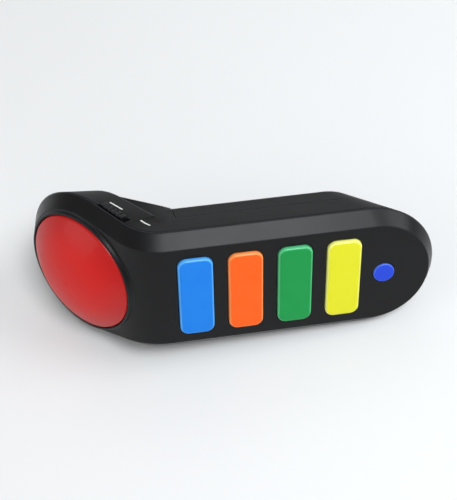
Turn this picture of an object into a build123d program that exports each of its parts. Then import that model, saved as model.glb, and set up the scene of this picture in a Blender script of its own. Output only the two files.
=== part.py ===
from build123d import *
import os
from math import acos, asin, atan2, cos, hypot, pi, radians, sin, sqrt, tan

os.makedirs("parts", exist_ok=True)

# Handle, in millimetres and degrees. x runs from head to tail and starts at the first button.
part_half = 25.3
bevel_run = 4.9
back_draw = 8.3
face_half = part_half - bevel_run
back_half = part_half - back_draw
face_tail_x = 63.6
part_tail_x = 61.5
back_tail_x = 50.0
handle_depth = 31.5
bevel_depth = 4.8
back_round = 6.0

# Head, bent back from the handle
head_tilt = 49.5
bend_x = -19.25
head_reach = 28.7
head_lead = 3.9
head_bevel_run = 4.4
head_draw = 7.5
head_part_radius = part_half + head_lead
head_face_radius = head_part_radius - head_bevel_run
head_back_radius = head_part_radius - head_draw
head_depth = 21.4
head_round = 4.0
neck_spread = 1.3
neck_face_half = face_half + neck_spread
neck_part_half = part_half + neck_spread
neck_flare = 0.8
knee_radius = 22.0
sweep_radius = 28.0
sweep_x = -6.5
fairing_margin = 1.0
fairing_half = head_back_radius - fairing_margin
fairing_draw = 8.0
fairing_depth = 12.0
fairing_sink = 0.15
fairing_sections = 5
fairing_start_x = sweep_x + 8.5
fairing_end_x = sweep_x - 15.5
dome_margin = 1.9
dome_radius = head_face_radius - dome_margin
collar_rise = 1.1
collar_lip = 1.1
collar_flare = 1.0
collar_top_radius = dome_radius + collar_lip
collar_foot_radius = collar_top_radius + collar_flare
collar_foot_depth = 2.0
collar_edge = 0.4

# Walls and fits
wall = 2.2
bevel_wall = 2.4
side_wall = 2.4
seam = 0.3
slide_fit = 0.3
screw_fit = 0.05

# Red dome
dome_height = 7.3
dome_wall = 2.2
dome_edge = 1.6
dome_travel = 3.0
dome_flange = 1.1
dome_flange_height = 1.4
sleeve_depth = 3.4
sleeve_wall = 1.1
stem_radius = 3.0
stem_depth = 5.4
spring_boss_radius = 9.5
spring_boss_hollow = 5.5

# Bar buttons and pairing button
button_pitch = 17.5
button_width = 12.3
button_length = 32.6
button_corner = 3.2
button_rise = 1.3
button_edge = 1.0
button_flange = 1.0
button_flange_height = 1.2
button_wall = 1.5
button_crown = 2.1
button_post_radius = 3.5
button_travel = 1.5
pairing_x = 67.4
pairing_radius = 3.8
pairing_rise = 0.5
pairing_edge = 0.4
pairing_travel = 0.8

# Boards
board_depth = 6.6
board_thickness = 1.6
board_start_x = -7.5
board_end_x = 58.0
board_margin = 4.7
board_half = part_half - board_margin
tongue_end_x = 74.0
tongue_half = 8.0
head_board_depth = 12.9
head_board_margin = 4.4
head_board_radius = dome_radius - head_board_margin
ear_half = 5.0
ear_reach = 20.3
key_dome_radius = 4.6
key_dome_top = 2.7
key_dome_wall = 0.8
pairing_dome_radius = 3.2

radio_x = 20.0
radio_length = 18.0
radio_width = 13.0
radio_board = 0.8
radio_can = 11.0
radio_can_shift = 2.5
radio_can_height = 1.8
chip_x = 38.0
chip_size = 7.0
chip_height = 1.0
led_count = 6
led_circle = 12.5
led_radius = 2.4
led_height = 6.0
tact_size = 6.0
tact_corner = 0.4
tact_height = 3.5
tact_plunger_radius = 1.7

# Screws
screw_radius = 1.15
screw_length = 9.0
screw_head_radius = 2.4
screw_head_height = 1.5
boss_radius = 3.0
case_screw_places = [(-11.5, 11.5), (-11.5, -11.5), (68.0, 12.0), (68.0, -12.0)]
small_screw_radius = 0.9
small_screw_length = 3.6
small_screw_head_radius = 1.8
small_screw_head_height = 1.1
small_boss_radius = 2.0
board_screw_places = [(8.75, 18.4), (8.75, -18.4), (43.75, 18.4), (43.75, -18.4)]
head_boss_radius = 2.5
head_screw_margin = 2.9
head_screw_circle = head_board_radius - head_screw_margin
head_screw_turns = [60, 180, 300]
head_screw_places = [
    (head_screw_circle * cos(radians(turn)), head_screw_circle * sin(radians(turn)))
    for turn in head_screw_turns
]
post_radius = 3.6
post_bore_radius = 2.6

# Battery compartment
floor_depth = 12.0
floor_thickness = 1.4
bulkhead_x = -6.0
tail_bulkhead_x = 53.3
tail_bulkhead_half = 12.5
tail_bulkhead_margin = 5.5
tail_bulkhead_depth = handle_depth - tail_bulkhead_margin
bulkhead_thickness = 1.4
door_x = -4.0
door_depth = 17.5
lip_depth = 15.0
lip_margin = 6.8
lip_half = part_half - lip_margin
lip_thickness = 1.2
lip_length = 46.0
grip_count = 5
grip_pitch = 3.0
grip_depth = 0.6
grip_length = 18.0
cell_radius = 7.25
cell_length = 49.2
cell_nub_radius = 2.75
cell_nub_length = 1.3
cell_edge = 0.7
cell_spread = 7.7
cell_back = 10.2
cell_depth = handle_depth - cell_back
contact_half = 5.5
contact_tab_half = 2.0
contact_thickness = 0.4
contact_gap = 0.2

# Coil springs
dome_wire = 1.0
dome_coil_radius = 7.0
dome_coil_turns = 5
cell_wire = 0.8
cell_coil_radius = 3.6
cell_coil_turns = 4

# Ribbon cable and its sockets
cable_half = 4.0
cable_thickness = 0.4
cable_depth = 9.5
cable_bend = 7.0
socket_half = 5.2
socket_height = 2.6
head_socket_u = 13.6
head_socket_length = 2.8
main_socket_x = -1.5
main_socket_length = 5.0
socket_slot = 1.0
cable_grip = 1.5

# Slide switch on the neck's side wall
slot_width = 3.9
knob_length = 9.6
knob_proud = 0.8
knob_ribs = 4
knob_travel = 1.4
knob_flange_length = 12.4
knob_flange_start = 2.2
knob_flange_end = 7.4
knob_flange_depth = 3.0
knob_flange_thickness = 0.5
peg_width = 2.0
peg_height = 1.6
peg_depth = 9.2
peg_inner = 19.0
peg_outer = 22.5
switch_length = 8.0
switch_inner = 15.6
switch_outer = 19.9
switch_top = 8.4

# Rest pose: the front face as it stands when the buzzer lies on its side
rest_place = (-15.32, -21.63, 32.4)
rest_turn = (70.04, 2.23, -6.13)
face = Plane(Location(rest_place, rest_turn))

tilt = radians(head_tilt)
knee_run = knee_radius * tan(tilt / 2)
knee_x = bend_x + knee_run
neck_u = head_reach - knee_run
side = Plane(origin=face.origin, x_dir=face.x_dir, z_dir=-face.y_dir)
head_center = Vector(bend_x - head_reach * cos(tilt), 0, -head_reach * sin(tilt))
head_across = face.x_dir * cos(tilt) + face.z_dir * sin(tilt)
head_normal = face.z_dir * cos(tilt) - face.x_dir * sin(tilt)
head = Plane(origin=face.from_local_coords(head_center), x_dir=head_across, z_dir=head_normal)
face_axis = Axis(face.origin, face.z_dir)
head_axis = Axis(head.origin, head.z_dir)


def face_at(depth):
    """A plane inside the handle, parallel to its front face."""
    return face.offset(-depth)


def head_at(depth):
    """A plane inside the head, parallel to the head's face."""
    return head.offset(-depth)


def across_at(x):
    """A plane square to the handle's length: its x is the handle's y, its y the front normal."""
    return Plane(origin=face.from_local_coords(Vector(x, 0, 0)), x_dir=face.y_dir, z_dir=face.x_dir)


def between(start, end, share):
    """The value a share of the way from start to end."""
    return start + (end - start) * share


def handle_outline(half, tail_x, start_x):
    """The handle at one depth: parallel sides and a round tail."""
    with BuildSketch(Plane.XY) as outline:
        with BuildLine():
            Polyline((tail_x, half), (start_x, half), (start_x, -half), (tail_x, -half))
            ThreePointArc((tail_x, -half), (tail_x + half, 0), (tail_x, half))
        make_face()
    return outline.sketch


def head_touch(radius, neck_half):
    """Where a line from the neck touches the head's circle."""
    bearing = atan2(neck_half, neck_u) + acos(radius / hypot(neck_u, neck_half))
    return radius * cos(bearing), radius * sin(bearing)


def head_outline(radius, neck_half):
    """The head at one depth: a circle drawn out by its tangents to the neck."""
    u, v = head_touch(radius, neck_half)
    with BuildSketch(Plane.XY) as outline:
        with BuildLine():
            Polyline((u, v), (neck_u, neck_half), (neck_u, -neck_half), (u, -v))
            ThreePointArc((u, -v), (-radius, 0), (u, v))
        make_face()
    return outline.sketch


def knee_block(handle_top, neck_top, top_depth, handle_low, neck_low, low_depth):
    """The bend between handle and head, through sections that turn about the knee's axis."""
    axis_point = face.from_local_coords(Vector(knee_x, 0, -knee_radius))
    with BuildPart() as block:
        for share in (0, 0.25, 0.5, 0.75, 1):
            angle = tilt * share
            travel = face.x_dir * -cos(angle) - face.z_dir * sin(angle)
            top_half = between(handle_top, neck_top, share**2)
            low_half = between(handle_low, neck_low, share**2)
            with BuildSketch(Plane(origin=axis_point, x_dir=-face.y_dir, z_dir=travel)):
                Polygon(
                    (-top_half, knee_radius - top_depth),
                    (-low_half, knee_radius - low_depth),
                    (low_half, knee_radius - low_depth),
                    (top_half, knee_radius - top_depth),
                    align=None,
                )
        loft()
    return block.part


def front_form(inset, sink, low):
    """The front shell's outer form, or its hollow: inset from the sides, from depth sink to depth low."""
    top_share = sink / bevel_depth
    low_share = low / bevel_depth
    top_half = between(face_half, part_half, top_share) - inset
    low_half = between(face_half, part_half, low_share) - inset
    top_neck = between(neck_face_half, neck_part_half, top_share) - inset
    low_neck = between(neck_face_half, neck_part_half, low_share) - inset
    knee = knee_block(top_half, top_neck, sink, low_half, low_neck, low)
    with BuildPart() as form:
        with BuildSketch(face_at(sink)):
            add(handle_outline(top_half, between(face_tail_x, part_tail_x, top_share), knee_x))
        with BuildSketch(face_at(low)):
            add(handle_outline(low_half, between(face_tail_x, part_tail_x, low_share), knee_x))
        loft(ruled=True)
        with BuildSketch(head_at(sink)):
            add(head_outline(between(head_face_radius, head_part_radius, top_share) - inset, top_neck))
        with BuildSketch(head_at(low)):
            add(head_outline(between(head_face_radius, head_part_radius, low_share) - inset, low_neck))
        loft(ruled=True)
        add(knee)
    return form.part


def posts(places, radius, top, low):
    """Round posts behind the handle's face, from one depth to another."""
    with BuildPart() as block:
        with BuildSketch(face_at(low)):
            with Locations(*places):
                Circle(radius)
        extrude(amount=low - top)
    return block.part


# Slopes of the walls behind the parting line, per millimetre of depth
wall_depth = handle_depth - bevel_depth
wall_taper = (part_half - back_half) / wall_depth
tail_taper = (part_tail_x - back_tail_x) / wall_depth
head_taper = (head_part_radius - head_back_radius) / (head_depth - bevel_depth)
knee_core_depth = knee_radius - wall
core_half = part_half - wall_taper * (knee_core_depth - bevel_depth)
neck_taper = (neck_part_half - core_half - neck_flare) / (knee_core_depth - bevel_depth)
neck_back_half = neck_part_half - neck_taper * (head_depth - bevel_depth)


def handle_half(depth):
    """Half the handle's width at a depth behind the parting line."""
    return part_half - wall_taper * (depth - bevel_depth)


def neck_half(depth):
    """Half the neck's width at a depth behind the parting line."""
    return neck_part_half - neck_taper * (depth - bevel_depth)


def back_sweep(sink, start_x):
    """What lies behind the handle: a flat back that sweeps up to the head in a wide curve."""
    radius = sweep_radius + sink
    center_z = -handle_depth - sweep_radius
    end_x = start_x - wall
    angle = asin((sweep_x - end_x) / radius)
    mid_point = (sweep_x - radius * sin(angle / 2), center_z + radius * cos(angle / 2))
    end_z = center_z + radius * cos(angle)
    flat_z = -handle_depth + sink
    tail_end = part_tail_x + part_half
    with BuildPart() as space:
        with BuildSketch(side):
            with BuildLine():
                ThreePointArc((sweep_x, flat_z), mid_point, (end_x, end_z))
                Polyline(
                    (end_x, end_z),
                    (end_x, center_z),
                    (tail_end, center_z),
                    (tail_end, flat_z),
                    (sweep_x, flat_z),
                )
            make_face()
        extrude(amount=part_half, both=True)
    return space.part


def handle_block(inset, sink, top):
    """The handle behind the parting line; deep in the neck it runs on into the head."""
    start_x = bend_x - knee_run
    space = back_sweep(sink, start_x)
    with BuildPart() as block:
        for depth in (top, handle_depth + sweep_radius / 2):
            with BuildSketch(face_at(depth)):
                tail_x = part_tail_x - tail_taper * (depth - bevel_depth)
                add(handle_outline(handle_half(depth) - inset, tail_x, start_x))
        loft(ruled=True)
        add(space, mode=Mode.SUBTRACT)
        back_faces = block.faces().sort_by(face_axis)[:2]
        back_edges = ShapeList(edge for back in back_faces for edge in back.edges())
        fillet(back_edges.filter_by(Axis(face.origin, face.y_dir), reverse=True), back_round - sink)
        with BuildSketch(face):
            with Locations(((start_x + knee_x) / 2, 0)):
                Rectangle(knee_x - start_x, part_half * 2)
        extrude(amount=sink - knee_core_depth, mode=Mode.SUBTRACT)
    return block.part


def head_block(inset, sink, top):
    """The head behind the parting line."""
    with BuildPart() as block:
        for depth in (top, head_depth - sink):
            with BuildSketch(head_at(depth)):
                radius = head_part_radius - head_taper * (depth - bevel_depth)
                add(head_outline(radius - inset, neck_half(depth) - inset))
        loft(ruled=True)
        back_edges = block.faces().sort_by(head_axis)[0].edges()
        fillet(back_edges.sort_by(Axis(head.origin, head.x_dir))[:-1], head_round - sink)
    return block.part


def rear_form(inset, sink, top):
    """The rear shell's outer form, or its hollow: inset from the sides, sunk below the back."""
    core = knee_core_depth - sink
    knee = knee_block(
        handle_half(top) - inset,
        neck_half(top) - inset,
        top,
        handle_half(core) - inset,
        neck_half(core) - inset,
        core,
    )
    handle = handle_block(inset, sink, top)
    head_part = head_block(inset, sink, top)
    with BuildPart() as form:
        add(handle)
        add(head_part)
        add(knee)
    return form.part


def sweep_depth(x):
    """How deep the swept back lies at a place along the handle."""
    run = max(0, sweep_x - x)
    return handle_depth + sweep_radius - sqrt(sweep_radius**2 - run**2)


def neck_fairing():
    """A web that carries the handle's side walls into the wider walls of the head."""
    top_half = handle_half(fairing_depth) - fairing_sink
    with BuildPart() as web:
        for index in range(fairing_sections):
            share = index / (fairing_sections - 1)
            x = between(fairing_end_x, fairing_start_x, share)
            low_half = fairing_half - fairing_draw * share**2
            low = sweep_depth(x) - fairing_sink
            with BuildSketch(across_at(x)) as section:
                Polygon(
                    (-top_half, -fairing_depth),
                    (-low_half, -low),
                    (low_half, -low),
                    (top_half, -fairing_depth),
                    align=None,
                )
                fillet(section.vertices().group_by(face_axis)[0], back_round)
        loft()
    return web.part


front_outer = front_form(0, 0, bevel_depth)
front_inner = front_form(bevel_wall, wall, bevel_depth + wall)
rear_outer = rear_form(0, 0, bevel_depth + seam) + neck_fairing()
rear_inner = rear_form(side_wall, wall, bevel_depth - wall)

# Shared places and heights
head_side = Plane(origin=head.origin, x_dir=head.x_dir, z_dir=-head.y_dir)
button_names = ["blue", "orange", "green", "yellow"]
button_places = [(button_pitch * index, 0) for index in range(len(button_names))]
flange_depth = wall + slide_fit
flange_low = flange_depth + button_flange_height
board_low = board_depth + board_thickness
head_board_low = head_board_depth + board_thickness
floor_low = floor_depth + floor_thickness
boss_root = wall / 2
opening_radius = dome_radius + slide_fit
pilot_radius = screw_radius + screw_fit
small_pilot_radius = small_screw_radius + screw_fit

# The neck's side wall that carries the slide switch: its y runs to the back
touch_u, touch_v = head_touch(head_part_radius, neck_part_half)
wall_start = head.from_local_coords(Vector(touch_u, touch_v, -bevel_depth))
wall_end = head.from_local_coords(Vector(neck_u, neck_part_half, -bevel_depth))
wall_back = head.from_local_coords(Vector(neck_u, neck_back_half, -head_depth))
wall_along = (wall_end - wall_start).normalized()
wall_out = wall_along.cross(wall_back - wall_end).normalized()
switch_wall = Plane(origin=(wall_start + wall_end) * 0.5, x_dir=wall_along, z_dir=wall_out)
switch_u = (touch_u + neck_u) / 2
slot_length = knob_length + 2 * knob_travel + 2 * slide_fit

# Front shell: bevelled face, collar round the dome, openings and screw bosses
with BuildPart() as collar:
    with BuildSketch(head_at(collar_foot_depth)):
        Circle(collar_foot_radius)
    with BuildSketch(head_at(-collar_rise)):
        Circle(collar_top_radius)
    loft()
    fillet(collar.edges().sort_by(head_axis)[-1], collar_edge)

with BuildPart() as sleeve:
    with BuildSketch(head_at(sleeve_depth)):
        Circle(opening_radius + sleeve_wall)
        Circle(opening_radius - sleeve_wall, mode=Mode.SUBTRACT)
    extrude(amount=sleeve_depth - boss_root)

tail_bosses = posts(case_screw_places[2:], boss_radius, boss_root, floor_depth)
neck_bosses = posts(case_screw_places[:2], boss_radius, boss_root, floor_depth)
board_bosses = posts(board_screw_places, small_boss_radius, boss_root, board_depth)
front_skin = front_outer + collar.part - front_inner
front_base = front_skin + tail_bosses + neck_bosses + board_bosses + sleeve.part

with BuildPart() as front_shell:
    add(front_base)
    with BuildSketch(face_at(floor_depth)):
        with Locations(*case_screw_places):
            Circle(pilot_radius)
    extrude(amount=screw_length - floor_thickness + slide_fit, mode=Mode.SUBTRACT)
    with BuildSketch(face_at(board_depth)):
        with Locations(*board_screw_places):
            Circle(small_pilot_radius)
    extrude(amount=small_screw_length - board_thickness + slide_fit, mode=Mode.SUBTRACT)
    with BuildSketch(head_at(sleeve_depth)):
        Circle(opening_radius)
    extrude(amount=sleeve_depth + collar_rise, mode=Mode.SUBTRACT)
    with BuildSketch(face_at(wall)):
        with Locations(*button_places):
            RectangleRounded(
                button_width + 2 * slide_fit, button_length + 2 * slide_fit, button_corner + slide_fit
            )
        with Locations((pairing_x, 0)):
            Circle(pairing_radius + slide_fit)
    extrude(amount=wall, mode=Mode.SUBTRACT)
front_shell.part.label = "front_shell"
export_step(front_shell.part, "parts/front_shell.step")

# Rear shell: battery floor and bulkheads, screw posts, door opening and switch slot
floor_end = part_tail_x + part_half
floor_start = bulkhead_x - bulkhead_thickness
with BuildPart() as partition:
    with BuildSketch(face_at(floor_depth)):
        with Locations(((floor_start + floor_end) / 2, 0)):
            Rectangle(floor_end - floor_start, part_half * 2)
    extrude(amount=-floor_thickness)
    with BuildSketch(face_at(floor_depth)):
        with Locations((bulkhead_x - bulkhead_thickness / 2, 0)):
            Rectangle(bulkhead_thickness, part_half * 2)
    extrude(amount=floor_depth - handle_depth)
    add(handle_block(side_wall / 2, wall / 2, bevel_depth), mode=Mode.INTERSECT)

with BuildPart() as head_bosses:
    with BuildSketch(head_at(head_board_low)):
        with Locations(*head_screw_places):
            Circle(head_boss_radius)
    extrude(amount=head_board_low - head_depth + wall / 2)

neck_posts = posts(case_screw_places[:2], post_radius, floor_depth, handle_depth - wall / 4)
rear_skin = rear_outer - rear_inner
rear_base = rear_skin + partition.part + neck_posts + head_bosses.part

with BuildPart() as rear_shell:
    add(rear_base)
    with BuildSketch(face_at(door_depth)):
        with Locations((door_x + part_tail_x, 0)):
            Rectangle(part_tail_x * 2, part_half * 2)
    extrude(amount=door_depth - handle_depth, mode=Mode.SUBTRACT)
    with BuildSketch(face_at(floor_depth)):
        with Locations((tail_bulkhead_x + bulkhead_thickness / 2, 0)):
            Rectangle(bulkhead_thickness, tail_bulkhead_half * 2)
    extrude(amount=floor_depth - tail_bulkhead_depth)
    with BuildSketch(face_at(floor_low)):
        with Locations(*case_screw_places[:2]):
            Circle(post_bore_radius)
    extrude(amount=floor_low - handle_depth - wall, mode=Mode.SUBTRACT)
    with BuildSketch(face_at(floor_depth)):
        with Locations(*case_screw_places):
            Circle(pilot_radius)
        with Locations((bulkhead_x, cell_spread), (bulkhead_x, -cell_spread)):
            Rectangle(contact_thickness * 4, contact_tab_half * 2 + slide_fit * 2)
    extrude(amount=-floor_thickness, mode=Mode.SUBTRACT)
    with BuildSketch(head_at(head_board_low)):
        with Locations(*head_screw_places):
            Circle(small_pilot_radius)
    extrude(amount=board_thickness - small_screw_length - slide_fit, mode=Mode.SUBTRACT)
    with BuildSketch(switch_wall.offset(knob_proud)):
        Rectangle(slot_length, slot_width * 2)
    extrude(amount=knob_proud + knob_flange_depth, dir=-head.y_dir, mode=Mode.SUBTRACT)
rear_shell.part.label = "rear_shell"
export_step(rear_shell.part, "parts/rear_shell.step")

# Battery door: the tail end of the back, with lips that stand inside the rear shell
with BuildPart() as door_space:
    with BuildSketch(face_at(door_depth + seam)):
        with Locations((door_x + seam + part_tail_x, 0)):
            Rectangle(part_tail_x * 2, part_half * 2)
    extrude(amount=door_depth + seam - handle_depth)
door_skin = rear_skin & door_space.part

with BuildPart() as battery_door:
    add(door_skin)
    with BuildSketch(face_at(lip_depth)):
        lip_x = door_x + lip_length / 2 + 1
        lip_y = lip_half - lip_thickness / 2
        with Locations((lip_x, lip_y), (lip_x, -lip_y)):
            Rectangle(lip_length, lip_thickness)
    extrude(amount=lip_depth - cell_depth - wall)
    with BuildSketch(face_at(handle_depth)):
        with GridLocations(grip_pitch, 0, grip_count, 1):
            with Locations((tail_bulkhead_x - grip_pitch * grip_count, 0)):
                SlotOverall(grip_length, grip_pitch / 2, rotation=90)
    extrude(amount=grip_depth, mode=Mode.SUBTRACT)
battery_door.part.label = "battery_door"
export_step(battery_door.part, "parts/battery_door.step")

# Red dome: a thin cap with a skirt, a retaining flange, a ring for the spring and a stem for the switch
crown_radius = (dome_radius**2 + dome_height**2) / (2 * dome_height)
crown_center = collar_rise + dome_height - crown_radius
hollow_radius = crown_radius - dome_wall
skirt_radius = dome_radius - dome_wall
skirt_top = crown_center + sqrt(hollow_radius**2 - skirt_radius**2)
crown_inside = crown_center + hollow_radius
dome_flange_top = -(sleeve_depth + slide_fit)
dome_flange_low = dome_flange_top - dome_flange_height


def crown_height(radius, reach):
    """The height of a dome sphere above the head's face at a distance from the middle."""
    return crown_center + sqrt(radius**2 - reach**2)


with BuildPart() as buzzer_dome:
    with BuildSketch(head_side):
        with BuildLine():
            ThreePointArc(
                (0, crown_center + crown_radius),
                (dome_radius / 2, crown_height(crown_radius, dome_radius / 2)),
                (dome_radius, collar_rise),
            )
            Polyline(
                (dome_radius, collar_rise),
                (dome_radius, dome_flange_top),
                (dome_radius + dome_flange, dome_flange_top),
                (dome_radius + dome_flange, dome_flange_low),
                (skirt_radius, dome_flange_low),
                (skirt_radius, skirt_top),
            )
            ThreePointArc(
                (skirt_radius, skirt_top),
                (skirt_radius / 2, crown_height(hollow_radius, skirt_radius / 2)),
                (0, crown_inside),
            )
            Line((0, crown_inside), (0, crown_center + crown_radius))
        make_face()
    revolve(axis=head_axis)
    rim_edges = [edge for edge in buzzer_dome.edges() if abs(edge.length - 2 * pi * dome_radius) < 0.01]
    fillet(ShapeList(rim_edges).sort_by(head_axis)[-1], dome_edge)
    with BuildSketch(head):
        Circle(spring_boss_radius)
        Circle(spring_boss_hollow, mode=Mode.SUBTRACT)
    extrude(amount=crown_inside)
    with BuildSketch(head_at(stem_depth)):
        Circle(stem_radius)
    extrude(amount=stem_depth + crown_inside + dome_wall / 2)
buzzer_dome.part.label = "buzzer_dome"
export_step(buzzer_dome.part, "parts/buzzer_dome.step")

# Bar buttons, each with a flange below the front wall and a post over its key dome
for name, place in zip(button_names, button_places):
    with BuildPart() as button:
        with BuildSketch(face_at(flange_depth)):
            with Locations(place):
                RectangleRounded(button_width, button_length, button_corner)
        extrude(amount=flange_depth + button_rise)
        fillet(button.faces().sort_by(face_axis)[-1].edges(), button_edge)
        with BuildSketch(face_at(flange_low)):
            with Locations(place):
                RectangleRounded(
                    button_width + 2 * button_flange,
                    button_length + 2 * button_flange,
                    button_corner + button_flange,
                )
        extrude(amount=button_flange_height)
        with BuildSketch(face_at(flange_low)):
            with Locations(place):
                RectangleRounded(
                    button_width - 2 * button_wall,
                    button_length - 2 * button_wall,
                    button_corner - button_wall,
                )
                Circle(button_post_radius, mode=Mode.SUBTRACT)
        extrude(amount=flange_low + button_rise - button_crown, mode=Mode.SUBTRACT)
    button.part.label = name + "_button"
    export_step(button.part, "parts/" + name + "_button.step")

# Pairing button
with BuildPart() as pairing_button:
    with BuildSketch(face_at(flange_depth)):
        with Locations((pairing_x, 0)):
            Circle(pairing_radius)
    extrude(amount=flange_depth + pairing_rise)
    fillet(pairing_button.faces().sort_by(face_axis)[-1].edges(), pairing_edge)
    with BuildSketch(face_at(flange_low)):
        with Locations((pairing_x, 0)):
            Circle(pairing_radius + button_flange)
    extrude(amount=button_flange_height)
pairing_button.part.label = "pairing_button"
export_step(pairing_button.part, "parts/pairing_button.step")

# Rubber key domes on the main board, one below each button
key_names = button_names + ["pairing"]
key_places = button_places + [(pairing_x, 0)]
key_radii = [key_dome_radius] * len(button_names) + [pairing_dome_radius]
key_top_depth = flange_low + slide_fit
for name, place, radius in zip(key_names, key_places, key_radii):
    with BuildPart() as key_dome:
        with BuildSketch(face_at(board_depth)):
            with Locations(place):
                Circle(radius)
        with BuildSketch(face_at(key_top_depth)):
            with Locations(place):
                Circle(key_dome_top)
        loft()
        with BuildSketch(face_at(board_depth)):
            with Locations(place):
                Circle(radius - key_dome_wall)
        with BuildSketch(face_at(key_top_depth + key_dome_wall)):
            with Locations(place):
                Circle(key_dome_top - key_dome_wall)
        loft(mode=Mode.SUBTRACT)
    key_dome.part.label = name + "_key_dome"
    export_step(key_dome.part, "parts/" + name + "_key_dome.step")

# Main board with its radio, chip and cable socket on the underside
with BuildPart() as main_board:
    with BuildSketch(face_at(board_depth)):
        with Locations(((board_start_x + board_end_x) / 2, 0)):
            Rectangle(board_end_x - board_start_x, board_half * 2)
        with Locations(((board_end_x + tongue_end_x) / 2, 0)):
            Rectangle(tongue_end_x - board_end_x, tongue_half * 2)
        with Locations(*board_screw_places):
            Circle(small_pilot_radius, mode=Mode.SUBTRACT)
    extrude(amount=-board_thickness)
main_board.part.label = "main_board"
export_step(main_board.part, "parts/main_board.step")

with BuildPart() as radio_module:
    with BuildSketch(face_at(board_low)):
        with Locations((radio_x, 0)):
            Rectangle(radio_length, radio_width)
    extrude(amount=-radio_board)
    with BuildSketch(face_at(board_low + radio_board)):
        with Locations((radio_x + radio_can_shift, 0)):
            RectangleRounded(radio_can, radio_can, radio_board)
    extrude(amount=-radio_can_height)
radio_module.part.label = "radio_module"
export_step(radio_module.part, "parts/radio_module.step")

with BuildPart() as controller_chip:
    with BuildSketch(face_at(board_low)):
        with Locations((chip_x, 0)):
            Rectangle(chip_size, chip_size)
    extrude(amount=-chip_height)
    chamfer(controller_chip.faces().sort_by(face_axis)[0].edges(), chip_height / 5)
controller_chip.part.label = "controller_chip"
export_step(controller_chip.part, "parts/controller_chip.step")

# Head board with lamps, push switch and cable socket
with BuildPart() as head_board:
    with BuildSketch(head_at(head_board_depth)):
        Circle(head_board_radius)
        with Locations((switch_u, ear_reach / 2)):
            Rectangle(ear_half * 2, ear_reach)
        with Locations(*head_screw_places):
            Circle(small_pilot_radius, mode=Mode.SUBTRACT)
    extrude(amount=-board_thickness)
head_board.part.label = "head_board"
export_step(head_board.part, "parts/head_board.step")

with BuildPart() as head_leds:
    with BuildSketch(head_at(head_board_depth)):
        with PolarLocations(led_circle, led_count, start_angle=180 / led_count):
            Circle(led_radius)
    extrude(amount=led_height)
    fillet(head_leds.edges().group_by(head_axis)[-1], led_radius / 2)
head_leds.part.label = "head_leds"
export_step(head_leds.part, "parts/head_leds.step")

plunger_depth = stem_depth + dome_travel + slide_fit
with BuildPart() as dome_switch:
    with BuildSketch(head_at(head_board_depth)):
        RectangleRounded(tact_size, tact_size, tact_corner)
    extrude(amount=tact_height)
    with BuildSketch(head_at(head_board_depth)):
        Circle(tact_plunger_radius)
    extrude(amount=head_board_depth - plunger_depth)
dome_switch.part.label = "dome_switch"
export_step(dome_switch.part, "parts/dome_switch.step")


def screws(plane, places, radius, length, head_radius, head_height):
    """Cross-head screws that go into a plane against its normal, heads on its outer side."""
    slot = head_radius / 3
    with BuildPart() as block:
        with BuildSketch(plane):
            with Locations(*places):
                Circle(head_radius)
        extrude(amount=head_height)
        with BuildSketch(plane):
            with Locations(*places):
                Circle(radius)
        extrude(amount=-length)
        with BuildSketch(plane.offset(head_height)):
            with Locations(*places):
                Rectangle(head_radius * 1.2, slot)
                Rectangle(slot, head_radius * 1.2)
        extrude(amount=-head_height / 2, mode=Mode.SUBTRACT)
    return block.part


def mirrored(places):
    """The same places on a plane that looks backward."""
    return [(x, -y) for x, y in places]


def back_at(depth):
    """A plane inside the handle that looks to the back, with the handle's x."""
    return Plane(origin=face_at(depth).origin, x_dir=face.x_dir, z_dir=-face.z_dir)


# Screws
case_screws = screws(
    back_at(floor_low),
    mirrored(case_screw_places),
    screw_radius,
    screw_length,
    screw_head_radius,
    screw_head_height,
)
case_screws.label = "case_screws"
export_step(case_screws, "parts/case_screws.step")

board_screws = screws(
    back_at(board_low),
    mirrored(board_screw_places),
    small_screw_radius,
    small_screw_length,
    small_screw_head_radius,
    small_screw_head_height,
)
board_screws.label = "board_screws"
export_step(board_screws, "parts/board_screws.step")

head_screws = screws(
    head_at(head_board_depth),
    head_screw_places,
    small_screw_radius,
    small_screw_length,
    small_screw_head_radius,
    small_screw_head_height,
)
head_screws.label = "head_screws"
export_step(head_screws, "parts/head_screws.step")


def arc_middle(start, heading, end):
    """The middle of the arc that leaves start along heading and ends at end."""
    chord = (end - start).normalized()
    half = (heading + chord).normalized()
    return start + half * ((end - start).length / 2 / half.dot(chord))


def coil(plane, radius, wire, turns, length, name):
    """A coil spring on a plane: arcs of a quarter turn in pairs, swept with round wire."""
    rise = (length - wire) / turns
    steps = turns * 4

    def point(index):
        angle = pi / 2 * index
        height = wire / 2 + rise * index / 4
        return plane.from_local_coords(Vector(radius * cos(angle), radius * sin(angle), height))

    def heading(index):
        angle = pi / 2 * index
        spread = plane.x_dir * -sin(angle) + plane.y_dir * cos(angle)
        return (spread * (2 * pi * radius) + plane.z_dir * rise).normalized()

    least = length
    for index in range(steps - 1):
        for other in range(index + 3, steps + 1):
            least = min(least, (point(index) - point(other)).length - wire)
    print(name, "least gap to itself", round(least, 2), "mm")
    with BuildPart() as spring:
        with BuildLine():
            for index in range(steps):
                start = point(index)
                end = point(index + 1)
                out = heading(index)
                home = heading(index + 1)
                way = end - start
                both = out + home
                bend = 2 * (1 - out.dot(home))
                reach = (sqrt(way.dot(both) ** 2 + bend * way.dot(way)) - way.dot(both)) / bend
                middle = (start + end + (out - home) * reach) * 0.5
                onward = (end - home * reach - start - out * reach).normalized()
                ThreePointArc(start, arc_middle(start, out, middle), middle)
                ThreePointArc(middle, arc_middle(middle, onward, end), end)
        with BuildSketch(Plane(origin=point(0), z_dir=heading(0))):
            Circle(wire / 2)
        sweep()
    return spring.part


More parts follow.
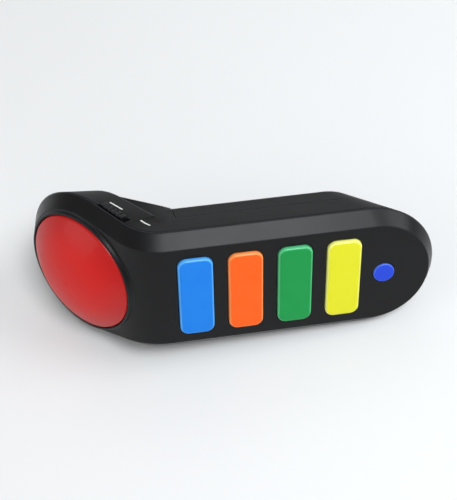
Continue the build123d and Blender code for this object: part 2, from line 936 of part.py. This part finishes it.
# Dome spring, between the head board and the dome's ring
dome_spring = coil(
    head_at(head_board_depth - slide_fit),
    dome_coil_radius,
    dome_wire,
    dome_coil_turns,
    head_board_depth - slide_fit * 2,
    "dome_spring",
)
dome_spring.label = "dome_spring"
export_step(dome_spring, "parts/dome_spring.step")

# Cells, their springs and contact plates
plate_x = bulkhead_x + contact_thickness
bridge_x = tail_bulkhead_x - contact_thickness
cell_reach = cell_length + cell_nub_length
coil_length = bridge_x - plate_x - cell_reach - 3 * contact_gap


def cell(end_x, way, y):
    """One cell whose nub ends at end_x; way is 1 when the nub looks to the tail."""
    center = Vector(end_x, y, -cell_depth)
    plane = Plane(origin=face.from_local_coords(center), x_dir=face.y_dir, z_dir=face.x_dir * way)
    with BuildPart() as block:
        with BuildSketch(plane):
            Circle(cell_nub_radius)
        extrude(amount=-cell_reach)
        with BuildSketch(plane.offset(-cell_nub_length)):
            Circle(cell_radius)
        extrude(amount=-cell_length)
        wide_edges = [edge for edge in block.edges() if abs(edge.length - 2 * pi * cell_radius) < 0.01]
        fillet(wide_edges, cell_edge)
    return block.part


upper_cell = cell(plate_x + contact_gap, -1, cell_spread)
upper_cell.label = "upper_cell"
export_step(upper_cell, "parts/upper_cell.step")

lower_cell = cell(bridge_x - contact_gap, 1, -cell_spread)
lower_cell.label = "lower_cell"
export_step(lower_cell, "parts/lower_cell.step")

tail_coil_start = Vector(bridge_x - contact_gap, cell_spread, -cell_depth)
tail_coil_plane = Plane(
    origin=face.from_local_coords(tail_coil_start), x_dir=face.y_dir, z_dir=-face.x_dir
)
tail_spring = coil(tail_coil_plane, cell_coil_radius, cell_wire, cell_coil_turns, coil_length, "tail_spring")
tail_spring.label = "tail_spring"
export_step(tail_spring, "parts/tail_spring.step")

head_coil_start = Vector(plate_x + contact_gap, -cell_spread, -cell_depth)
head_coil_plane = Plane(
    origin=face.from_local_coords(head_coil_start), x_dir=face.y_dir, z_dir=face.x_dir
)
neck_spring = coil(head_coil_plane, cell_coil_radius, cell_wire, cell_coil_turns, coil_length, "neck_spring")
neck_spring.label = "neck_spring"
export_step(neck_spring, "parts/neck_spring.step")

for name, y in (("upper_contact", cell_spread), ("lower_contact", -cell_spread)):
    with BuildPart() as contact:
        with BuildSketch(across_at(bulkhead_x)):
            with Locations((y, -cell_depth)):
                RectangleRounded(contact_half * 2, contact_half * 2, contact_tab_half / 2)
            with Locations((y, -(board_low + cell_depth) / 2)):
                Rectangle(contact_tab_half * 2, cell_depth - board_low)
        extrude(amount=contact_thickness)
    contact.part.label = name
    export_step(contact.part, "parts/" + name + ".step")

with BuildPart() as bridge_contact:
    with BuildSketch(across_at(bridge_x)):
        with Locations((0, -(floor_low + tail_bulkhead_depth) / 2)):
            Rectangle(tail_bulkhead_half * 2 - slide_fit, tail_bulkhead_depth - floor_low - slide_fit)
    extrude(amount=contact_thickness)
bridge_contact.part.label = "bridge_contact"
export_step(bridge_contact.part, "parts/bridge_contact.step")

# Cable sockets and the ribbon cable through the neck
socket_middle = head_board_depth - socket_height / 2
with BuildPart() as head_socket:
    with BuildSketch(head_at(head_board_depth)):
        with Locations((head_socket_u + head_socket_length / 2, 0)):
            Rectangle(head_socket_length, socket_half * 2)
    extrude(amount=socket_height)
    with BuildSketch(head_at(socket_middle + socket_slot / 2)):
        with Locations((head_socket_u + head_socket_length, 0)):
            Rectangle((cable_grip + slide_fit) * 2, (cable_half + slide_fit) * 2)
    extrude(amount=socket_slot, mode=Mode.SUBTRACT)
head_socket.part.label = "head_socket"
export_step(head_socket.part, "parts/head_socket.step")

main_socket_height = (cable_depth - board_low) * 2
with BuildPart() as main_socket:
    with BuildSketch(face_at(board_low)):
        with Locations((main_socket_x + main_socket_length / 2, 0)):
            Rectangle(main_socket_length, socket_half * 2)
    extrude(amount=-main_socket_height)
    with BuildSketch(face_at(cable_depth + socket_slot / 2)):
        with Locations((main_socket_x, 0)):
            Rectangle((cable_grip + slide_fit) * 2, (cable_half + slide_fit) * 2)
    extrude(amount=socket_slot, mode=Mode.SUBTRACT)
main_socket.part.label = "main_socket"
export_step(main_socket.part, "parts/main_socket.step")

cable_u = head_socket_u + head_socket_length - cable_grip
cable_start_x = head_center.X + cable_u * cos(tilt) + socket_middle * sin(tilt)
cable_start_z = head_center.Z + cable_u * sin(tilt) - socket_middle * cos(tilt)
cable_corner_x = cable_start_x + (-cable_depth - cable_start_z) / tan(tilt)
with BuildPart() as head_cable:
    with BuildLine(side):
        FilletPolyline(
            (cable_start_x, cable_start_z),
            (cable_corner_x, -cable_depth),
            (main_socket_x + cable_grip, -cable_depth),
            radius=cable_bend,
        )
    cable_origin = face.from_local_coords(Vector(cable_start_x, 0, cable_start_z))
    with BuildSketch(Plane(origin=cable_origin, x_dir=face.y_dir, z_dir=head.x_dir)):
        Rectangle(cable_half * 2, cable_thickness)
    sweep()
head_cable.part.label = "head_cable"
export_step(head_cable.part, "parts/head_cable.step")

# Slide switch: knob in the neck's slot, its peg in the switch on the head board's ear
with BuildPart() as switch_knob:
    pad_start = seam + slide_fit
    pad_end = slot_width - slide_fit
    with BuildSketch(switch_wall.offset(knob_proud)):
        with Locations((0, (pad_start + pad_end) / 2)):
            Rectangle(knob_length, pad_end - pad_start)
    extrude(amount=knob_proud + knob_flange_depth + knob_flange_thickness, dir=-head.y_dir)
    with BuildSketch(switch_wall.offset(knob_proud)):
        with Locations((0, (pad_start + pad_end) / 2)):
            with GridLocations(knob_length / (knob_ribs + 1), 0, knob_ribs, 1):
                Rectangle(knob_length / (knob_ribs + 1) / 2, pad_end - pad_start)
    extrude(amount=-knob_proud / 2, mode=Mode.SUBTRACT)
    with BuildSketch(switch_wall.offset(-knob_flange_depth - knob_flange_thickness)):
        with Locations((0, (knob_flange_start + knob_flange_end) / 2)):
            Rectangle(knob_flange_length, knob_flange_end - knob_flange_start)
    extrude(amount=knob_flange_thickness)
    with BuildSketch(head_at(peg_depth)):
        with Locations((switch_u, (peg_inner + peg_outer) / 2)):
            Rectangle(peg_width, peg_outer - peg_inner)
    extrude(amount=-peg_height)
switch_knob.part.label = "switch_knob"
export_step(switch_knob.part, "parts/switch_knob.step")

with BuildPart() as switch_body:
    with BuildSketch(head_at(head_board_depth)):
        with Locations((switch_u, (switch_inner + switch_outer) / 2)):
            Rectangle(switch_length, switch_outer - switch_inner)
    extrude(amount=head_board_depth - switch_top)
    groove_length = peg_width + 2 * knob_travel + 2 * slide_fit
    groove_inner = peg_inner - 2 * slide_fit
    with BuildSketch(head_at(peg_depth - slide_fit)):
        with Locations((switch_u, (groove_inner + switch_outer) / 2)):
            Rectangle(groove_length, switch_outer - groove_inner)
    extrude(amount=-peg_height - 2 * slide_fit, mode=Mode.SUBTRACT)
switch_body.part.label = "switch_body"
export_step(switch_body.part, "parts/switch_body.step")
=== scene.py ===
# %% [markdown]
# Wireless quiz buzzer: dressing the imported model.
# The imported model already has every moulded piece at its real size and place, in metres.
# This lesson keeps those pieces as they are, gives each one a finish made from nodes, and adds
# the two printed marks that a moulding drawing leaves out.

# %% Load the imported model
import bpy
from mathutils import Matrix, Vector


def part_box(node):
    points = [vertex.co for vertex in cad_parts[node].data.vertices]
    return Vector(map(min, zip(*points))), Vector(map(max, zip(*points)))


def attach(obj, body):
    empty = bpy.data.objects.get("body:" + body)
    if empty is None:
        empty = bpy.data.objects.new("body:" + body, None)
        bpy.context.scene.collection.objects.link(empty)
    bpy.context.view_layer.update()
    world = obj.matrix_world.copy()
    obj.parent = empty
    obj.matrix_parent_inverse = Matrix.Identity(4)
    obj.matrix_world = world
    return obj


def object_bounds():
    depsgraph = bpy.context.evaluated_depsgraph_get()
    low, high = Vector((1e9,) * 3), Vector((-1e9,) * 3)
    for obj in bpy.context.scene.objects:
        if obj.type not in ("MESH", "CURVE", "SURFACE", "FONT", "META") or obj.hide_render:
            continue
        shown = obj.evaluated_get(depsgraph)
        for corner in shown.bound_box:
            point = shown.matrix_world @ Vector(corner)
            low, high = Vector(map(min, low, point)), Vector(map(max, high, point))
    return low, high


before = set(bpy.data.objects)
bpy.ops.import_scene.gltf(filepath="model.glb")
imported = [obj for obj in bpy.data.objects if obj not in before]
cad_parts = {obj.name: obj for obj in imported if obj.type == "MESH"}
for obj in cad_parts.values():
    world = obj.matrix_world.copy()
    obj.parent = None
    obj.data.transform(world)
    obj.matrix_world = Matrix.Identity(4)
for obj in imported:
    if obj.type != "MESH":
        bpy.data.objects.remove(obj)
cad_low, cad_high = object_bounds()
bpy.ops.object.select_all(action="DESELECT")
print("pieces in the frame:", len(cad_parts))
print("packed size in mm:", [round(v * 1000, 1) for v in cad_high - cad_low])

# %% [markdown]
# The camera.
# The photograph was taken by hand from above and in front, so the handle climbs a little to the
# right and the red dome turns away at the left. The camera stands where that hand was and looks
# at the middle of the buzzer. A longer lens than the phone's fills the picture without
# changing the perspective, which depends only on where the camera stands.

# %% Camera at the photograph's viewing angle
camera_place = Vector((-0.0159, -0.2269, 0.3828))
picture_up = Vector((0.1831, 0.8861, 0.4259))
aim = Vector((-0.001, -0.004, 0.030))
lens_length = 84.0

look = (aim - camera_place).normalized()
picture_right = look.cross(picture_up).normalized()
camera_turn = Matrix((picture_right, picture_right.cross(look), -look)).transposed()
bpy.ops.object.camera_add(location=camera_place, rotation=camera_turn.to_euler())
camera = bpy.context.object
camera.data.lens = lens_length
bpy.context.scene.camera = camera
print("camera is", round((camera_place - aim).length * 1000), "mm from the middle of the buzzer")

# %% [markdown]
# Writing shader maths as Python.
# Node trees get long when every Math node is placed by hand. A small class wraps one socket, so
# that `1 - mask` or `0.4 + 0.1 * cloud` adds the nodes by itself, and one method makes any other
# node. Colours are written as they look on a screen and made linear, which is what shaders use.

# %% A socket that can be calculated with, and a finish that holds its nodes
class Wire:
    def __init__(self, finish, socket):
        self.finish = finish
        self.socket = socket

    def sum(self, operation, first, second):
        return self.finish.add("ShaderNodeMath", {"operation": operation}, {0: first, 1: second})

    def __add__(self, other):
        return self.sum("ADD", self, other)

    def __radd__(self, other):
        return self.sum("ADD", other, self)

    def __sub__(self, other):
        return self.sum("SUBTRACT", self, other)

    def __rsub__(self, other):
        return self.sum("SUBTRACT", other, self)

    def __mul__(self, other):
        return self.sum("MULTIPLY", self, other)

    def __rmul__(self, other):
        return self.sum("MULTIPLY", other, self)


class Finish:
    def __init__(self, name, constants):
        self.material = bpy.data.materials.new(name)
        self.material.use_nodes = True
        self.tree = self.material.node_tree
        self.shader = self.tree.nodes["Principled BSDF"]
        self.feed(constants)

    def add(self, kind, settings, values, output=0):
        node = self.tree.nodes.new(kind)
        for key, value in settings.items():
            setattr(node, key, value)
        for key, value in values.items():
            self.put(node.inputs[key], value)
        return Wire(self, node.outputs[output])

    def put(self, socket, value):
        if isinstance(value, Wire):
            self.tree.links.new(value.socket, socket)
        else:
            socket.default_value = value

    def feed(self, values):
        for key, value in values.items():
            self.put(self.shader.inputs[key], value)

    def blend(self, amount, first, second):
        return self.add("ShaderNodeMix", {"data_type": "RGBA"}, {0: amount, 6: first, 7: second}, 2)

    def spot(self):
        return self.add("ShaderNodeTexCoord", {}, {}, "Object")

    def noise(self, scale, detail=2.0):
        values = {"Vector": self.spot(), "Scale": scale, "Detail": detail}
        return self.add("ShaderNodeTexNoise", {}, values, "Fac")

    def dot(self, first, second):
        settings = {"operation": "DOT_PRODUCT"}
        return self.add("ShaderNodeVectorMath", settings, {0: first, 1: second}, "Value")

    def ramp(self, value, start, end, kind="LINEAR"):
        values = {"Value": value, "From Min": start, "From Max": end}
        return self.add("ShaderNodeMapRange", {"interpolation_type": kind}, values)

    def outward(self):
        return self.add("ShaderNodeNewGeometry", {}, {}, "Normal")

    def bump(self, height, normal, distance, strength):
        values = {"Height": height, "Distance": distance, "Strength": strength, "Normal": normal}
        return self.add("ShaderNodeBump", {}, values, "Normal")

    def soft_edges(self, radius):
        return self.add("ShaderNodeBevel", {"samples": 6}, {"Radius": radius}, "Normal")

    def edge_mask(self, rounded, gain):
        apart = 1 - self.dot(rounded, self.outward())
        settings = {"operation": "MULTIPLY", "use_clamp": True}
        return self.add("ShaderNodeMath", settings, {0: apart, 1: gain})


def linear_shade(tone):
    if tone <= 0.04045:
        return tone / 12.92
    return ((tone + 0.055) / 1.055) ** 2.4


def linear(red, green, blue):
    return (linear_shade(red), linear_shade(green), linear_shade(blue), 1.0)


def dress(finish, *names):
    for name in names:
        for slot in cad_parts[name].material_slots:
            slot.material = finish.material
    print(finish.material.name, "on", ", ".join(names))


# %% [markdown]
# Black moulded plastic.
# The case, the battery door and the slide knob are satin black: the mould was spark-eroded, so
# a grain of a few tenths of a millimetre breaks up the reflections. The edges get a painted
# highlight: their colour is painted paler and their roughness a little lower. The Bevel node rounds
# the edges' shading by under a millimetre, as a mould maker would, and the same node compared with
# the real normal finds where the edges are.

# %% Satin black for the case, the door and the knob
case_edge_round = 0.0007
case_edge_gain = 4.0


def moulded_black(name, deep, pale, edge_highlight_tone, rough, shine):
    finish = Finish(name, {"IOR": 1.46, "Specular IOR Level": shine})
    cloud = finish.noise(scale=70.0, detail=3.0)
    grain = finish.noise(scale=2600.0)
    rounded = finish.soft_edges(case_edge_round)
    # Paler edges: a painted highlight along every edge, which are also a little less rough.
    edge_highlight = finish.edge_mask(rounded, case_edge_gain)
    body = finish.blend(cloud, deep, pale)
    finish.feed({
        "Base Color": finish.blend(0.6 * edge_highlight, body, edge_highlight_tone),
        "Roughness": rough + 0.10 * cloud - 0.08 * edge_highlight,
        "Normal": finish.bump(grain, rounded, distance=0.00002, strength=0.30),
    })
    return finish


front_black = moulded_black(
    "front_black", linear(0.035, 0.035, 0.04), linear(0.06, 0.06, 0.068),
    edge_highlight_tone=linear(0.26, 0.27, 0.29), rough=0.30, shine=0.26,
)
rear_black = moulded_black(
    "rear_black", linear(0.045, 0.045, 0.05), linear(0.07, 0.07, 0.075),
    edge_highlight_tone=linear(0.20, 0.20, 0.22), rough=0.48, shine=0.12,
)
knob_black = moulded_black(
    "knob_black", linear(0.04, 0.04, 0.045), linear(0.065, 0.065, 0.07),
    edge_highlight_tone=linear(0.25, 0.25, 0.26), rough=0.45, shine=0.25,
)
dress(front_black, "front_shell")
dress(rear_black, "rear_shell", "battery_door")
dress(knob_black, "switch_knob")

# %% [markdown]
# The red dome.
# The big button is a thin, slightly see-through cap over lamps. Its rim is painted a deeper red
# than its middle, a painted shade. Distance from the top of the cap drives that painted shade, and
# a clear coat gives the thin bright line round its rounded edge.

# %% Glossy red for the dome
head_place = Vector((-0.05381, -0.00113, 0.02926))
head_way = Vector((-0.73021, -0.60991, 0.3079))
dome_rise = 0.0084
dome_top = head_place + dome_rise * head_way
dome_reach = 0.025
rim_shade_start = 0.45 * dome_reach


def dome_red(name):
    finish = Finish(name, {"IOR": 1.49, "Specular IOR Level": 0.30, "Coat Roughness": 0.12})
    ends = {0: finish.spot(), 1: dome_top}
    away = finish.add("ShaderNodeVectorMath", {"operation": "DISTANCE"}, ends, "Value")
    shaded_rim = finish.ramp(away, rim_shade_start, dome_reach, "SMOOTHSTEP")
    cloud = finish.noise(scale=55.0, detail=3.0)
    grain = finish.noise(scale=1800.0)
    rounded = finish.soft_edges(0.0005)
    middle = finish.blend(cloud, linear(0.80, 0.06, 0.04), linear(0.86, 0.09, 0.06))
    finish.feed({
        # The rim is painted a deeper red than the middle: painted shade.
        "Base Color": finish.blend(0.75 * shaded_rim, middle, linear(0.70, 0.03, 0.02)),
        "Roughness": 0.42 + 0.08 * cloud,
        "Coat Weight": 0.02 + 0.20 * shaded_rim,
        "Normal": finish.bump(grain, rounded, distance=0.00001, strength=0.25),
    })
    return finish


dress(dome_red("dome_red"), "buzzer_dome")

# %% [markdown]
# The answer buttons and the small round button.
# Each is one colour of plastic all through. Their rounded edges get a painted highlight: a paler
# colour, so they read as a paler line round a plain field. How far the surface turns away from the
# front of the handle finds those edges, so the painted highlight follows every corner. The cosine
# of that turn is 1 on the flat field, and the two limits say where the painted highlight starts and
# ends.

# %% Coloured plastic for the buttons
front_way = Vector((0.03891, -0.93922, 0.34111))
edge_starts = 0.99
edge_full = 0.80


def button_plastic(name, field, highlight_tone):
    finish = Finish(name, {"IOR": 1.49, "Specular IOR Level": 0.22, "Coat Roughness": 0.18})
    cloud = finish.noise(scale=160.0, detail=3.0)
    grain = finish.noise(scale=2200.0)
    rounded = finish.soft_edges(0.0004)
    facing = finish.dot(finish.outward(), front_way)
    highlight_edge = finish.ramp(facing, edge_starts, edge_full)
    plain = finish.blend(0.08 * cloud, field, highlight_tone)
    finish.feed({
        # The paler line round the edges is a painted highlight.
        "Base Color": finish.blend(0.80 * highlight_edge, plain, highlight_tone),
        "Roughness": 0.36 + 0.10 * cloud - 0.06 * highlight_edge,
        "Coat Weight": 0.05 + 0.30 * highlight_edge,
        "Normal": finish.bump(grain, rounded, distance=0.00001, strength=0.25),
    })
    return finish


button_blue = button_plastic("button_blue", linear(0.0, 0.49, 0.90), linear(0.36, 0.70, 0.97))
dress(button_blue, "blue_button")
button_orange = button_plastic("button_orange", linear(1.0, 0.37, 0.0), linear(1.0, 0.62, 0.34))
dress(button_orange, "orange_button")
button_green = button_plastic("button_green", linear(0.0, 0.58, 0.26), linear(0.36, 0.78, 0.54))
dress(button_green, "green_button")
button_yellow = button_plastic("button_yellow", linear(0.90, 0.89, 0.06), linear(0.97, 0.97, 0.55))
dress(button_yellow, "yellow_button")
pairing_blue = button_plastic("pairing_blue", linear(0.10, 0.26, 0.84), linear(0.36, 0.50, 0.92))
dress(pairing_blue, "pairing_button")

# %% [markdown]
# Metals inside.
# The contacts, their springs and some case screws show once the battery door is off, the rest only
# when the case is open. Drawn and stamped metal is never even, so fine noise varies its roughness
# and a larger one its tint.

# %% Steel and nickel
def bare_metal(name, dull, bright, rough, grain_scale):
    finish = Finish(name, {"Metallic": 1.0})
    cloud = finish.noise(scale=220.0, detail=3.0)
    grain = finish.noise(grain_scale)
    rounded = finish.soft_edges(0.0001)
    finish.feed({
        "Base Color": finish.blend(cloud, dull, bright),
        "Roughness": rough + 0.18 * grain,
        "Normal": finish.bump(grain, rounded, distance=0.00002, strength=0.25),
    })
    return finish


contact_nickel = bare_metal(
    "contact_nickel", linear(0.66, 0.65, 0.62), linear(0.80, 0.79, 0.76),
    rough=0.22, grain_scale=3200.0,
)
spring_steel = bare_metal(
    "spring_steel", linear(0.55, 0.55, 0.55), linear(0.72, 0.72, 0.71),
    rough=0.20, grain_scale=4200.0,
)
screw_steel = bare_metal(
    "screw_steel", linear(0.40, 0.40, 0.41), linear(0.60, 0.60, 0.60),
    rough=0.28, grain_scale=3600.0,
)
can_tin = bare_metal(
    "can_tin", linear(0.62, 0.63, 0.64), linear(0.76, 0.77, 0.78),
    rough=0.30, grain_scale=2600.0,
)
dress(contact_nickel, "upper_contact", "lower_contact", "bridge_contact")
dress(spring_steel, "tail_spring", "neck_spring", "dome_spring")
dress(screw_steel, "case_screws", "board_screws", "head_screws")
dress(can_tin, "radio_module")

# %% [markdown]
# Boards, sockets and cells.
# Circuit boards are green lacquer over copper, so the copper runs show as paler lines. Each cell
# wears a grey-blue sleeve with a pale band at its positive end and no print. The two cells lie
# opposite ways round, so the band's end is given for each. The small sockets are cream nylon.

# %% Lacquered boards
def lacquered_board(name):
    finish = Finish(name, {"IOR": 1.5, "Coat Roughness": 0.1})
    layout = {"Vector": finish.spot(), "Scale": 260.0, "Mortar Size": 0.06, "Bias": 0.0}
    runs = finish.add("ShaderNodeTexBrick", {"offset": 0.5}, layout, "Fac")
    cloud = finish.noise(scale=180.0, detail=3.0)
    lacquer = finish.blend(cloud, linear(0.03, 0.27, 0.14), linear(0.05, 0.33, 0.17))
    finish.feed({
        "Base Color": finish.blend(0.6 * runs, lacquer, linear(0.16, 0.50, 0.25)),
        "Roughness": 0.32 + 0.12 * cloud,
        "Coat Weight": 0.25 + 0.15 * runs,
    })
    return finish


dress(lacquered_board("lacquered_board"), "main_board", "head_board")

# %% Sockets, cable, lamps, chip, rubber and switches
def plain_moulding(name, deep, pale, rough, grain_scale, coat):
    finish = Finish(name, {"IOR": 1.48, "Coat Weight": coat})
    cloud = finish.noise(scale=240.0, detail=3.0)
    grain = finish.noise(grain_scale)
    rounded = finish.soft_edges(0.0002)
    finish.feed({
        "Base Color": finish.blend(cloud, deep, pale),
        "Roughness": rough + 0.12 * cloud,
        "Normal": finish.bump(grain, rounded, distance=0.00003, strength=0.25),
    })
    return finish


cream_nylon = plain_moulding(
    "cream_nylon", linear(0.80, 0.77, 0.66), linear(0.88, 0.85, 0.74),
    rough=0.42, grain_scale=1800.0, coat=0.05,
)
grey_cable = plain_moulding(
    "grey_cable", linear(0.50, 0.51, 0.53), linear(0.62, 0.63, 0.65),
    rough=0.48, grain_scale=2400.0, coat=0.05,
)
lamp_clear = plain_moulding(
    "lamp_clear", linear(0.86, 0.80, 0.70), linear(0.95, 0.92, 0.84),
    rough=0.15, grain_scale=2000.0, coat=0.5,
)
chip_epoxy = plain_moulding(
    "chip_epoxy", linear(0.05, 0.05, 0.055), linear(0.09, 0.09, 0.095),
    rough=0.55, grain_scale=3000.0, coat=0.0,
)
key_rubber = plain_moulding(
    "key_rubber", linear(0.62, 0.63, 0.62), linear(0.72, 0.73, 0.72),
    rough=0.62, grain_scale=1600.0, coat=0.0,
)
switch_nylon = plain_moulding(
    "switch_nylon", linear(0.12, 0.12, 0.13), linear(0.18, 0.18, 0.19),
    rough=0.50, grain_scale=2400.0, coat=0.05,
)
dress(cream_nylon, "head_socket", "main_socket")
dress(grey_cable, "head_cable")
dress(lamp_clear, "head_leds")
dress(chip_epoxy, "controller_chip")
key_domes = [key + "_key_dome" for key in ("blue", "orange", "green", "yellow", "pairing")]
dress(key_rubber, *key_domes)
dress(switch_nylon, "switch_body", "dome_switch")

# %% Cell sleeves
handle_way = Vector((0.99353, -0.00009, -0.11358))
band_start = 0.0150
band_blur = 0.0003


def cell_sleeve(name, along, middle, way):
    finish = Finish(name, {"IOR": 1.5, "Coat Roughness": 0.15})
    from_middle = way * (finish.dot(finish.spot(), along) - middle)
    band = finish.ramp(from_middle, band_start, band_start + band_blur)
    cloud = finish.noise(scale=200.0, detail=3.0)
    grey_blue = finish.blend(cloud, linear(0.20, 0.30, 0.42), linear(0.26, 0.36, 0.48))
    pale = finish.blend(cloud, linear(0.72, 0.74, 0.76), linear(0.82, 0.84, 0.85))
    finish.feed({
        "Base Color": finish.blend(band, grey_blue, pale),
        "Roughness": 0.28 + 0.10 * cloud,
        "Coat Weight": 0.30 + 0.20 * cloud,
    })
    return finish


for cell_name, plus_way in (("upper_cell", -1.0), ("lower_cell", 1.0)):
    low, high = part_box(cell_name)
    middle = handle_way.dot((Vector(low) + Vector(high)) / 2)
    dress(cell_sleeve(cell_name + "_sleeve", handle_way, middle, plus_way), cell_name)

# %% [markdown]
# Plain marks by the slide switch.
# Two white dashes are printed on the neck's side, one by each end of the switch. A print has
# almost no thickness, so each starts as a flat grid just off the wall, is wrapped onto the wall by
# Shrinkwrap so that it follows the curve, and gets a few hundredths of a millimetre by Solidify.

# %% A strip that follows the surface it lies on
print_gap = 0.00001


def strip_on(name, carrier, middle, along, across, length, width, proud):
    bpy.ops.object.select_all(action="DESELECT")
    bpy.ops.mesh.primitive_grid_add(x_subdivisions=28, y_subdivisions=6, size=1.0)
    strip = bpy.context.object
    strip.name = name
    turn = Matrix((along, across, along.cross(across))).transposed().to_4x4()
    stretch = Matrix.Diagonal((length, width, 1.0, 1.0))
    strip.matrix_world = Matrix.Translation(middle) @ turn @ stretch
    bpy.ops.object.transform_apply(location=True, rotation=True, scale=True)
    hug = strip.modifiers.new("hug", "SHRINKWRAP")
    hug.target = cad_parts[carrier]
    hug.wrap_method = "NEAREST_SURFACEPOINT"
    hug.offset = print_gap
    thick = strip.modifiers.new("thick", "SOLIDIFY")
    thick.thickness = proud
    thick.offset = 1.0
    soft = strip.modifiers.new("soft", "BEVEL")
    soft.width = 0.3 * proud
    soft.segments = 2
    soft.limit_method = "ANGLE"
    for modifier in list(strip.modifiers):
        bpy.ops.object.modifier_apply(modifier=modifier.name)
    return strip


# %% White dashes beside the switch
wall_middle = Vector((-0.03953, 0.00304, 0.05580))
wall_along = Vector((0.64947, -0.75955, 0.03572)).normalized()
wall_out = Vector((0.43577, 0.41029, 0.8011)).normalized()
wall_back = wall_out.cross(wall_along).normalized()
mark_back = 0.0078
mark_lift = 0.0004
mark_width = 0.0009
mark_proud = 0.00005

mark_white = plain_moulding(
    "mark_white", linear(0.84, 0.84, 0.83), linear(0.93, 0.93, 0.92),
    rough=0.45, grain_scale=2600.0, coat=0.0,
)
marks = (("mark_off", -0.0033, 0.0058), ("mark_on", 0.0102, 0.0042))
for mark_name, mark_at, mark_length in marks:
    mark_middle = wall_middle + mark_at * wall_along + mark_back * wall_back + mark_lift * wall_out
    mark_size = (mark_length, mark_width, mark_proud)
    mark = strip_on(mark_name, "rear_shell", mark_middle, wall_along, -wall_back, *mark_size)
    mark.data.materials.append(mark_white.material)
    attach(mark, "case")
    print(mark_name, round(mark_length * 1000, 1), "mm long,", len(mark.data.polygons), "faces")

# %% [markdown]
# The stage.
# A wide pale floor carries the buzzer's soft shadow. One large soft lamp hangs overhead, so that
# the sloping band round the front catches it as in the photograph. A weaker one stands at the left
# for the dome, one at the right for the band round the tail, and one behind for the far wall.
# Black plastic is shaped by what it reflects, so the lamps are large and their levels low.

# %% Floor
floor_size = 8.0
bpy.ops.object.select_all(action="DESELECT")
bpy.ops.mesh.primitive_plane_add(size=floor_size, location=(0.0, 0.0, cad_low.z))
floor = bpy.context.object
floor.name = "floor"
floor_pale = Finish("floor_pale", {"Specular IOR Level": 0.1})
floor_cloud = floor_pale.noise(scale=6.0, detail=2.0)
floor_pale.feed({
    "Base Color": floor_pale.blend(floor_cloud, linear(0.90, 0.90, 0.90), linear(0.92, 0.92, 0.92)),
    "Roughness": 0.85 + 0.05 * floor_cloud,
})
floor.data.materials.append(floor_pale.material)
print("floor at", round(cad_low.z * 1000, 2), "mm")

# %% Lamps and surroundings
def soft_lamp(name, place, size, power, tint):
    bpy.ops.object.light_add(type="AREA", location=place)
    lamp = bpy.context.object
    lamp.name = name
    lamp.data.shape = "RECTANGLE"
    lamp.data.size = size[0]
    lamp.data.size_y = size[1]
    lamp.data.energy = power
    lamp.data.color = tint
    lamp.rotation_euler = (Vector(place) - aim).to_track_quat("Z", "Y").to_euler()
    print(name, power, "W at", place)


daylight = (0.93, 0.97, 1.0)
plain_white = (1.0, 1.0, 1.0)
soft_lamp("overhead_lamp", (0.20, -0.36, 0.92), (0.40, 0.32), 5.6, daylight)
soft_lamp("left_lamp", (-0.95, -0.15, 0.45), (0.70, 0.60), 1.8, plain_white)
soft_lamp("right_lamp", (0.80, -0.10, 0.56), (0.50, 0.62), 4.4, daylight)
soft_lamp("far_lamp", (0.10, 0.85, 0.95), (0.90, 0.35), 1.2, plain_white)

sky_level = 0.36
world = bpy.data.worlds.new("surroundings")
bpy.context.scene.world = world
world.use_nodes = True
sky = world.node_tree.nodes["Background"]
sky.inputs["Color"].default_value = (1.0, 1.0, 1.0, 1.0)
sky.inputs["Strength"].default_value = sky_level
bpy.context.scene.view_settings.view_transform = "Standard"
